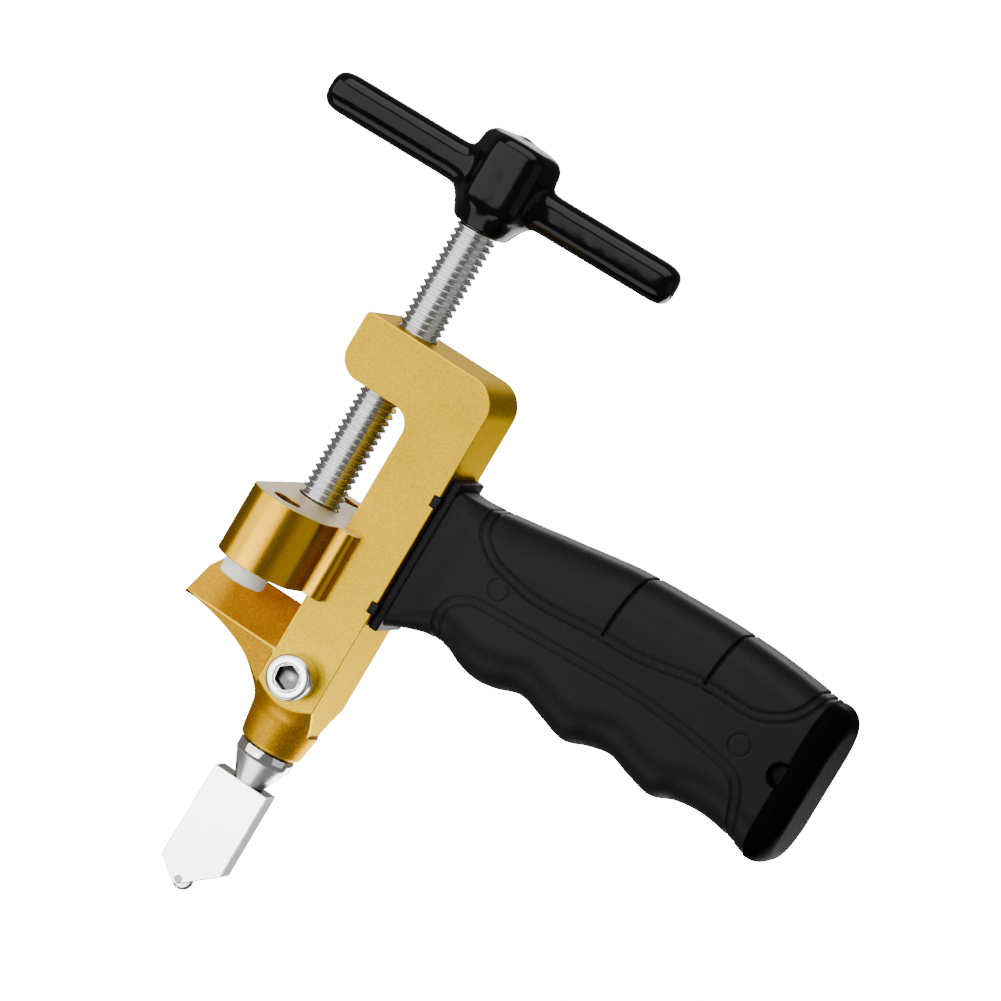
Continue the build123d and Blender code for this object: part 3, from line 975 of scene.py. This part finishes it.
# ---------------------------------------------------------------- lock screw
@dataclass
class LockScrew:
    """The socket-head screw that holds the cutter cartridge."""

    z: float = 55.3 * MM
    face: float = 10.5 * MM
    head_h: float = 6.0 * MM
    head_r: float = 5.0 * MM
    key: float = 2.5 * MM
    key_turn: float = 8.0
    shank_r: float = 3.0 * MM
    tip: float = 4.1 * MM
    recess: float = 0.3 * MM
    socket: float = 2.7 * MM
    point: float = 0.8 * MM

    def build(self) -> None:
        """Builds and dresses the screw: a turned body with a hexagonal socket sunk in its head."""
        r, h, f = self.head_r, self.head_h, self.face
        bore = self.key / math.cos(math.pi / 6)
        end = self.tip - f
        outer = [
            (0, end), (self.shank_r, end), (self.shank_r, -0.02 * MM), (r - 0.3 * MM, -0.02 * MM),
            (r, 0.3 * MM), (r, h - 0.75 * MM), (r - 0.08 * MM, h - 0.42 * MM),
            (r - 0.3 * MM, h - 0.16 * MM), (r - 0.62 * MM, h - 0.02 * MM), (r - 0.8 * MM, h),
            (bore + 0.42 * MM, h), (bore + 0.12 * MM, h - self.recess),
        ]
        bm = bmesh.new()
        centre = Vector((0, -f, self.z))
        polyline(bm, [centre + Vector((a, -d, 0)) for a, d in outer])
        bmesh.ops.spin(
            bm, geom=bm.verts[:] + bm.edges[:], cent=centre, axis=(0, 1, 0),
            angle=FULL_TURN, steps=96, use_merge=True,
        )
        turn = Matrix.Translation((0, -f - h + self.recess, self.z))
        turn = turn @ Matrix.Rotation(math.pi / 2, 4, "X")
        turn = turn @ Matrix.Rotation(math.radians(self.key_turn), 4, "Z")
        ring = bmesh.ops.create_circle(bm, cap_ends=False, segments=6, radius=bore, matrix=turn)
        hexa = list({e for v in ring["verts"] for e in v.link_edges})
        front = -f - h + 0.5 * MM
        rim = [e for e in bm.edges if e.is_boundary and e not in hexa and e.verts[0].co.y < front]
        bmesh.ops.triangle_fill(bm, edges=hexa + rim, use_beauty=True)
        grown = bmesh.ops.extrude_edge_only(bm, edges=hexa)
        verts = [g for g in grown["geom"] if isinstance(g, bmesh.types.BMVert)]
        edges = [g for g in grown["geom"] if isinstance(g, bmesh.types.BMEdge)]
        bmesh.ops.translate(bm, verts=verts, vec=(0, self.socket, 0))
        floor_edges = [e for e in edges if all(v in verts for v in e.verts)]
        floor = bmesh.ops.contextual_create(bm, geom=floor_edges)
        poked = bmesh.ops.poke(bm, faces=floor["faces"], offset=0.0)
        bmesh.ops.translate(bm, verts=poked["verts"], vec=(0, self.point, 0))
        bmesh.ops.remove_doubles(bm, verts=bm.verts[:], dist=MERGE)
        bmesh.ops.recalc_face_normals(bm, faces=bm.faces[:])
        # faces inside the socket take the dark socket finish, which is painted shade in the recess
        for face in bm.faces:
            at = face.calc_center_median() - centre
            face.material_index = int(math.hypot(at.x, at.z) < bore and at.y > -h + 0.28 * MM)
        obj = to_object(bm, "lock_screw_turned", 30.0)
        dress(obj, Metal.ZINC, Metal.SOCKET_PAINTED_SHADE)
        settle(obj, "lock_screw", "plated_screw", "lock_screw")


# ---------------------------------------------------------------- cutter
@dataclass
class CutterCartridge:
    """The chromed collar, swivelling head plate and wheel."""

    collar_top: float = 36.9 * MM
    collar_r: float = 6.45 * MM
    band: float = 2.4 * MM
    head_top: float = 28.2 * MM
    wheel_x: float = -1.8 * MM
    wheel_r: float = 2.6 * MM
    wheel_half: float = 0.54 * MM
    cone_end: float = 3.6 * MM
    shank_r: float = 2.9 * MM
    pin_r: float = 2.1 * MM
    axle_r: float = 0.76 * MM
    plate_edge: float = 0.22 * MM
    head_gap: float = 0.05 * MM

    def collar(self) -> None:
        """Builds and dresses the collar."""
        r, t, end = self.collar_r, self.collar_top, self.cone_end
        low, cone, step = self.head_top + self.head_gap, t - self.band, t - 3.0 * MM
        profile = [
            (self.shank_r, t), (r - 0.5 * MM, t), (r - 0.15 * MM, t - 0.12 * MM),
            (r, t - 0.45 * MM), (r, cone), (r - 0.12 * MM, cone - 0.35 * MM),
            (r - 0.6 * MM, cone - 1.2 * MM), (end + 0.35 * MM, low + 0.9 * MM),
            (end + 0.05 * MM, low + 0.35 * MM), (end - 0.2 * MM, low + 0.03 * MM),
            (end - 0.5 * MM, low), (self.pin_r, low), (self.pin_r, step),
            (self.shank_r, step), (self.shank_r, t),
        ]
        bm = lathe(profile, Vector((0, 0, 1)), Vector((0, 0, 0)), 112)
        for face in bm.faces:
            face.material_index = int(face.calc_center_median().z < cone)
        obj = to_object(bm, "collar_turned", 32.0)
        dress(obj, Metal.CHROME, Metal.TURNED)
        settle(obj, "frame", "chrome_collar", "cutter_collar")

    def head(self) -> None:
        """Builds and dresses the head plate; its edge faces take a darker nickel as painted shade.
        """
        bm = merged_copy("cutter_head", "head_plate")
        bm.normal_update()
        for face in bm.faces:
            # faces that do not face along Y are the plate's edges and take the darker nickel, which
            # is painted shade
            face.material_index = int(abs(face.normal.y) <= 0.9)
        obj = to_object(bm, "head_plate")
        dress(obj, Metal.NICKEL, Metal.NICKEL_SHADED_SIDE)
        soften(obj, self.plate_edge, 3, 0)
        settle(obj, "head", "nickel_head", "cutter_head")
        dress_node("wheel_axle", Metal.AXLE)

    def wheel(self) -> None:
        """Builds and dresses the bevelled wheel."""
        r, half = self.wheel_r, self.wheel_half
        profile = [
            (self.axle_r, -half), (r - 0.62 * MM, -half), (r - 0.5 * MM, -half + 0.06 * MM),
            (r - 0.02 * MM, -0.02 * MM), (r - 0.005 * MM, 0), (r - 0.02 * MM, 0.02 * MM),
            (r - 0.5 * MM, half - 0.06 * MM), (r - 0.62 * MM, half), (self.axle_r, half),
            (self.axle_r, -half),
        ]
        bm = lathe(profile, Vector((0, 1, 0)), Vector((self.wheel_x, 0, self.wheel_r)), 96)
        obj = to_object(bm, "cutting_wheel_ground", 25.0)
        dress(obj, Metal.CARBIDE)
        settle(obj, "wheel", "carbide", "cutting_wheel")

    def build(self) -> None:
        """Builds the cartridge."""
        self.collar()
        self.head()
        self.wheel()
        dress_node("cutter_shank", Metal.ZINC)
        dress_node("pivot_pin", Metal.ZINC)
        dress_node("pivot_clip", Metal.SPRING)


# ---------------------------------------------------------------- grip
@dataclass
class Grip:
    """The moulded pistol grip, its flange and its end cap."""

    front: float = 9.6
    seam: float = 101.0
    tail: float = 106.7
    middle: float = 56.0
    along: int = 236
    around: int = 404
    seam_round: float = 0.42
    seam_gap: float = 0.04
    crowding: float = 0.45
    stations: tuple[tuple[float, ...], ...] = (
        (9.55, 74.0, 107.4, 8.2, 3.0), (13.0, 75.7, 107.3, 9.0, 4.5),
        (18.5, 77.5, 107.9, 11.0, 7.0), (23.5, 77.4, 108.7, 12.2, 9.0),
        (28.0, 75.7, 109.4, 12.8, 9.5), (32.5, 74.9, 110.2, 13.2, 10.0),
        (37.0, 75.5, 110.9, 13.3, 10.0), (43.0, 77.4, 111.9, 13.4, 10.0),
        (49.0, 75.9, 112.8, 13.5, 10.0), (55.5, 74.3, 113.3, 13.5, 10.0),
        (61.0, 76.2, 113.6, 13.5, 10.0), (66.0, 77.2, 113.8, 13.5, 10.0),
        (71.5, 75.7, 114.0, 13.5, 10.0), (77.5, 74.6, 114.0, 13.5, 10.0),
        (83.0, 76.7, 113.9, 13.5, 10.0), (89.0, 77.4, 113.5, 13.4, 10.0),
        (95.5, 76.6, 112.9, 13.2, 9.8), (101.0, 74.9, 112.2, 13.0, 9.5),
    )
    palm: tuple[Point, ...] = (
        (17.6, 113.0), (18.2, 108.5), (19.5, 103.6), (24.5, 99.7), (30.6, 98.3),
        (38.0, 97.5), (53.0, 98.8), (62.6, 99.3), (77.1, 102.1), (88.2, 102.2),
        (93.9, 104.4), (97.4, 108.0), (99.0, 114.5),
    )
    finger: tuple[Point, ...] = (
        (21.6, 73.0), (21.2, 78.7), (20.3, 81.9), (20.7, 85.9), (23.9, 89.0), (28.6, 90.2),
        (42.1, 90.9), (67.1, 92.1), (88.8, 90.1), (94.3, 86.7), (96.6, 79.0), (96.9, 73.0),
    )
    channel: float = 0.95
    depth: float = 0.36
    floor_depth: float = 0.10
    ribs: tuple[Point, ...] = ((53.2, 99.0), (77.1, 102.2))
    rib_depth: float = 0.60
    discs: tuple[Point, ...] = ((29.0, 95.0), (90.0, 95.3))
    disc_r: float = 2.35
    disc_depth: float = 0.16
    notch: Triple = (100.6, 94.4, 2.9)
    notch_depth: float = 3.4
    side: float = 6.0
    flange_box: tuple[Triple, Triple, float] = ((8.43, 0, 90.7), (2.28, 16.8, 36.6), 0.54)
    lug_size: Triple = (1.6, 20.6, 2.55)
    lug_round: float = 0.15
    lugs: tuple[Triple, ...] = ((6.9, 0, 76.7), (6.9, 0, 103.0))
    cap_round: float = 4.6
    cap_section: tuple[float, ...] = (74.7, 112.3, 13.1, 9.6)

    def section(self, x: np.ndarray) -> np.ndarray:
        """The section's sizes at each x, smoothly joined.

        Args:
            x: positions along the grip, in millimetres.

        Returns:
            Columns of bottom, top, half width and corner radius.
        """
        rows = eased(list(self.stations), 12)
        return np.stack([np.interp(x, rows[:, 0], rows[:, k]) for k in range(1, 5)], 1)

    @staticmethod
    def ring(t: np.ndarray, size: np.ndarray, inset: np.ndarray) -> tuple[np.ndarray, np.ndarray]:
        """Points round a rounded rectangle, starting under the middle.

        Args:
            t: position round the ring, 0 to 1.
            size: bottom, top, half width and corner radius.
            inset: how far the outline is pulled in.

        Returns:
            The y and z of each point.
        """
        low, high, half, corner = (size[:, k] for k in range(4))
        half = np.maximum(half - inset, 0.01)
        tall = np.maximum((high - low) / 2 - inset, 0.01)
        corner = np.clip(corner - inset * 0.6, 0.01, np.minimum(half, tall) * 0.97)
        flat_y, flat_z = half - corner, tall - corner
        arc = corner * math.pi / 2
        total = 4 * (flat_y + flat_z + arc)
        s = (t % 1.0) * total
        y, z = np.zeros_like(s), np.zeros_like(s)
        edges = [flat_y, arc, 2 * flat_z, arc, 2 * flat_y, arc, 2 * flat_z, arc, flat_y]
        start = np.zeros_like(s)
        for k, length in enumerate(edges):
            inside = (s >= start) & (s <= start + length + 1e-9)
            u = s - start
            a = u / np.maximum(corner, 1e-9)
            options = [
                (u, -tall),
                (flat_y + corner * np.sin(a), -flat_z - corner * np.cos(a)),
                (half, -flat_z + u),
                (flat_y + corner * np.cos(a), flat_z + corner * np.sin(a)),
                (flat_y - u, tall),
                (-flat_y - corner * np.sin(a), flat_z + corner * np.cos(a)),
                (-half, flat_z - u),
                (-flat_y - corner * np.cos(a), -flat_z - corner * np.sin(a)),
                (-flat_y + u, -tall),
            ]
            oy, oz = options[k]
            y = np.where(inside, oy, y)
            z = np.where(inside, oz, z)
            start = start + length
        return y, z + (low + high) / 2

    def away(self, line: tuple, x: np.ndarray, z: np.ndarray) -> np.ndarray:
        """Distance in side view from a styling line.

        Args:
            line: the line's points.
            x: positions along the grip.
            z: heights.

        Returns:
            The distances in millimetres.
        """
        path = eased(list(line), 16)
        best = np.full(x.shape, 99.0)
        for a, b in zip(path, path[1:]):
            d = b - a
            u = np.clip(((x - a[0]) * d[0] + (z - a[1]) * d[1]) / max(d @ d, 1e-12), 0, 1)
            best = np.minimum(best, np.hypot(x - a[0] - u * d[0], z - a[1] - u * d[1]))
        return best

    @staticmethod
    def step(value: np.ndarray, low: float, high: float) -> np.ndarray:
        """A smooth step from 1 at low to 0 at high."""
        u = np.clip((value - low) / (high - low), 0, 1)
        return 1 - u * u * (3 - 2 * u)

    def grooves(self, x: np.ndarray, y: np.ndarray, z: np.ndarray) -> np.ndarray:
        """How deep each point is sunk, in millimetres.

        Args:
            x: positions along the grip.
            y: positions across it.
            z: heights.

        Returns:
            The depths.
        """
        w = self.channel
        deep = np.zeros_like(x)
        for line, lower, upper in ((self.palm, 1.0, 0.75), (self.finger, 0.75, 1.0)):
            d = self.away(line, x, z)
            lines = self.step(np.abs(d - w), 0.04, 0.52) * self.depth * lower
            floor = self.step(d, w - 0.2, w + 0.1) * self.floor_depth * upper
            deep = np.maximum(deep, np.maximum(lines, floor))
        for rib_x, rib_z in self.ribs:
            lean = rib_x + (z - rib_z) * 0.045
            line = self.step(np.abs(x - lean), 0.14, 0.50) * (z > rib_z)
            deep = np.maximum(deep, line * self.rib_depth)
        sides = np.abs(y) > self.side
        for cx, cz in self.discs:
            ring = np.abs(np.hypot(x - cx, z - cz) - self.disc_r)
            deep = np.maximum(deep, self.step(ring, 0.05, 0.38) * self.disc_depth * sides)
        cx, cz, r = self.notch
        dip = self.step(np.hypot(x - cx, z - cz), r - 0.2, r + 0.15)
        return np.maximum(deep, dip * self.notch_depth * sides)

    def rim(self, close: np.ndarray) -> np.ndarray:
        """How far the rounding at the seam draws the outline in.

        Args:
            close: 0 away from the seam, 1 on it.

        Returns:
            The inset in millimetres.
        """
        return self.seam_round * (1 - np.sqrt(1 - (close * 0.98) ** 2))

    @staticmethod
    def sheet(along: int, around: int) -> tuple[bmesh.types.BMesh, np.ndarray]:
        """A flat unit grid to wrap into a skin.

        Args:
            along: faces along the grip.
            around: faces round it.

        Returns:
            The mesh, and each vertex's place along and around, 0 to 1.
        """
        bm = bmesh.new()
        place = Matrix.Translation((0.5, 0.5, 0))
        bmesh.ops.create_grid(bm, x_segments=along, y_segments=around, size=0.5, matrix=place)
        return bm, np.array([v.co[:2] for v in bm.verts])

    @staticmethod
    def close(bm: bmesh.types.BMesh) -> None:
        """Merges a wrapped sheet's long edges, caps its ends and turns its faces outwards."""
        bmesh.ops.remove_doubles(bm, verts=bm.verts[:], dist=2 * MERGE)
        bmesh.ops.holes_fill(bm, edges=[e for e in bm.edges if e.is_boundary], sides=0)
        bmesh.ops.recalc_face_normals(bm, faces=bm.faces[:])

    def shell(self, start: float, end: float) -> bmesh.types.BMesh:
        """A length of the skin, wrapped round the sections and sunk along the styling lines.

        Args:
            start: where it begins along the grip, in millimetres.
            end: where it ends.

        Returns:
            The closed mesh.
        """
        bm, co = self.sheet(self.along, self.around)
        x = start + co[:, 0] * (end - start)
        t = co[:, 1] + self.crowding * np.sin(2 * FULL_TURN * co[:, 1]) / (2 * FULL_TURN)
        size = self.section(x)
        rim = self.rim(np.clip((x - (self.seam - 0.5)) / 0.46, 0, 1))
        deep = self.grooves(x, *self.ring(t, size, rim))
        deep = deep * (1 - np.clip((13.2 - x) / 2.0, 0, 1))
        y, z = self.ring(t, size, deep + rim)
        # the groove depth is stored per vertex to paint shade into the grooves
        layer = bm.verts.layers.float.new("groove_shade")
        for v, px, py, pz, d in zip(bm.verts, x, y, z, deep):
            v.co = (px * MM, py * MM, pz * MM)
            v[layer] = min(d / 0.55, 1.0)
        self.close(bm)
        return bm

    def flange(self) -> bmesh.types.BMesh:
        """The flange that bears on the frame's back, with its two lugs."""
        bm = bmesh.new()
        boxes = [self.flange_box, *((centre, self.lug_size, self.lug_round) for centre in self.lugs)]
        for centre, size, radius in boxes:
            place = Matrix.Translation(Vector(centre) * MM)
            place = place @ Matrix.Diagonal((*(Vector(size) * MM), 1))
            made = bmesh.ops.create_cube(bm, size=1.0, matrix=place)
            edges = list({e for v in made["verts"] for e in v.link_edges})
            bmesh.ops.bevel(
                bm, geom=edges, offset=radius * MM, offset_type="OFFSET", affect="EDGES",
                segments=4, profile=0.5, material=-1, clamp_overlap=True,
            )
        bmesh.ops.recalc_face_normals(bm, faces=bm.faces[:])
        return bm

    def cap(self) -> bmesh.types.BMesh:
        """The end cap: the last section carried on and rounded over to a slightly crowned end."""
        bm, co = self.sheet(110, 220)
        s = co[:, 0]
        radius = self.cap_round
        wall, turned = 0.22, 0.62
        bend = np.clip((s - wall) / (turned - wall), 0, 1) * math.pi / 2
        crown = np.clip((s - turned) / (1 - turned), 0, 1)
        x = self.seam + self.seam_gap + np.clip(s / wall, 0, 1) * (self.tail - radius - self.seam)
        x = x + radius * np.sin(bend) + crown**0.8 * 0.04
        inset = radius * (1 - np.cos(bend)) + crown * 8.35 + self.rim(np.clip(1 - s / 0.06, 0, 1))
        size = np.tile(np.array([self.cap_section]), (len(s), 1))
        y, z = self.ring(co[:, 1], size, inset)
        for v, px, py, pz in zip(bm.verts, x, y, z):
            v.co = (px * MM, py * MM, pz * MM)
        self.close(bm)
        return bm

    def build(self) -> None:
        """Builds and dresses the grip."""
        ends = (self.front, self.middle, self.seam - self.seam_gap)
        for name, start, end in zip(("grip_skin_front", "grip_skin_rear"), ends, ends[1:]):
            body = to_object(self.shell(start, end), name, 60.0)
            dress(body, MouldedGrip())
            settle(body, "frame", "grip_plastic", "grip_body")
        flange = to_object(self.flange(), "grip_flange", 40.0)
        dress(flange, MouldedGrip(name="moulded_flange", grooves=False))
        settle(flange, "frame", "grip_plastic", "grip_body")
        cap = to_object(self.cap(), "grip_cap_skin", 60.0)
        black, pale = (0.0014, 0.0014, 0.0014), (0.0028, 0.0028, 0.0028)
        dress(cap, MouldedGrip("moulded_cap", black, pale, 0.40, gloss=0.003, grooves=False))
        settle(cap, "frame", "cap_plastic", "grip_end_cap")
        dress_node("grip_bolt", Metal.ZINC)
        dress_node("grip_washer", Metal.ZINC)


# ---------------------------------------------------------------- studio
@dataclass(frozen=True)
class SoftBox:
    """A soft box, placed by the direction that it shines from; angles are in degrees."""

    name: str
    azimuth: float
    elevation: float
    distance: float
    size: Point
    power: float
    aim: Triple = (0.01618, 0.0, 0.10933)
    spread: float = 180.0

    def build(self) -> None:
        """Adds the lamp."""
        a, e = math.radians(self.azimuth), math.radians(self.elevation)
        away = Vector((math.sin(a) * math.cos(e), -math.cos(a) * math.cos(e), math.sin(e)))
        data = bpy.data.lights.new(self.name, "AREA")
        data.shape = "RECTANGLE"
        data.size, data.size_y = self.size
        data.energy = self.power
        data.spread = math.radians(self.spread)
        obj = bpy.data.objects.new(self.name, data)
        obj.location = Vector(self.aim) + away * self.distance
        obj.rotation_euler = away.to_track_quat("Z", "Y").to_euler()
        bpy.context.scene.collection.objects.link(obj)


@dataclass
class Studio:
    """Floor, lights and camera."""

    azimuth: float = 14.3
    elevation: float = 8.28
    roll: float = 30.66
    distance: float = 1.10
    lens: float = 186.7
    target: Triple = (0.01618, 0.0, 0.10933)
    backdrop_r: float = 60.0
    floor_z: float = -0.30
    glow: float = 18.0
    sky: Triple = (1.0, 0.93, 0.84)
    sky_strength: float = 0.20
    boxes: tuple[SoftBox, ...] = (
        SoftBox("key", -31, 11, 1.1, (1.62, 1.5), 25),
        SoftBox("side_fill", 80, 10, 1.3, (1.3, 1.2), 2.6),
        SoftBox("top_fill", -10, 72, 1.2, (0.9, 0.9), 10.0),
        SoftBox("back_fill", 198, 14, 1.3, (0.8, 0.6), 2.6),
        SoftBox("under", 150, -28, 1.0, (0.6, 0.6), 9.0),
        SoftBox("low_fill", -20, -64, 1.1, (0.9, 0.5), 4.5),
        SoftBox("plate_card", -14.3, -8, 0.32, (0.13, 0.12), 0.010, (-0.002, -0.0017, 0.014), 24),
    )

    def floor(self) -> None:
        """A wide pale floor below the tool that turns up into a round backdrop."""
        bm = bmesh.new()
        bmesh.ops.create_uvsphere(bm, u_segments=48, v_segments=24, radius=self.backdrop_r)
        cut = bmesh.ops.bisect_plane(
            bm, geom=bm.verts[:] + bm.edges[:] + bm.faces[:], plane_co=(0, 0, self.floor_z),
            plane_no=(0, 0, -1), clear_outer=True,
        )
        edge = [g for g in cut["geom_cut"] if isinstance(g, bmesh.types.BMEdge)]
        bmesh.ops.contextual_create(bm, geom=edge)
        obj = to_object(bm, "studio_floor")
        m = Maker("studio_paper")
        tone = m.mix(m.noise(0.6, 2.0), rgba((0.97, 0.97, 0.97)), rgba((1.0, 1.0, 1.0)))
        m.finish(Base_Color=tone, Roughness=0.9, Emission_Color=tone, Emission_Strength=self.glow)
        obj.data.materials.append(m.material)
        obj.visible_glossy = False
        obj.visible_diffuse = False
        obj.visible_shadow = False

    def build(self) -> None:
        """Sets the floor, lights, world and camera."""
        self.floor()
        for box in self.boxes:
            box.build()
        aim = Vector(self.target)
        world = bpy.data.worlds.new("studio")
        world.use_nodes = True
        background = world.node_tree.nodes["Background"]
        background.inputs["Color"].default_value = rgba(self.sky)
        background.inputs["Strength"].default_value = self.sky_strength
        bpy.context.scene.world = world
        a, e, r = (math.radians(v) for v in (self.azimuth, self.elevation, self.roll))
        forward = Vector((-math.sin(a) * math.cos(e), math.cos(a) * math.cos(e), -math.sin(e)))
        right = Vector((math.cos(a), math.sin(a), 0))
        up = right.cross(forward)
        side = math.cos(r) * right + math.sin(r) * up
        top = -math.sin(r) * right + math.cos(r) * up
        data = bpy.data.cameras.new("camera")
        data.lens = self.lens
        data.sensor_width = 36
        data.clip_end = 400
        camera = bpy.data.objects.new("camera", data)
        basis = Matrix((side, top, -forward)).transposed().to_4x4()
        camera.matrix_world = Matrix.Translation(aim - forward * self.distance) @ basis
        bpy.context.scene.collection.objects.link(camera)
        bpy.context.scene.camera = camera


def main() -> None:
    """Builds every sub-assembly in order."""
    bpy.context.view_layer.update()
    for part in (CFrame, ClampScrew, TeeHandle, Presser, LockScrew, CutterCartridge, Grip, Studio):
        LOG.info("building %s", part.__name__)
        part().build()


if __name__ == "__main__":
    main()
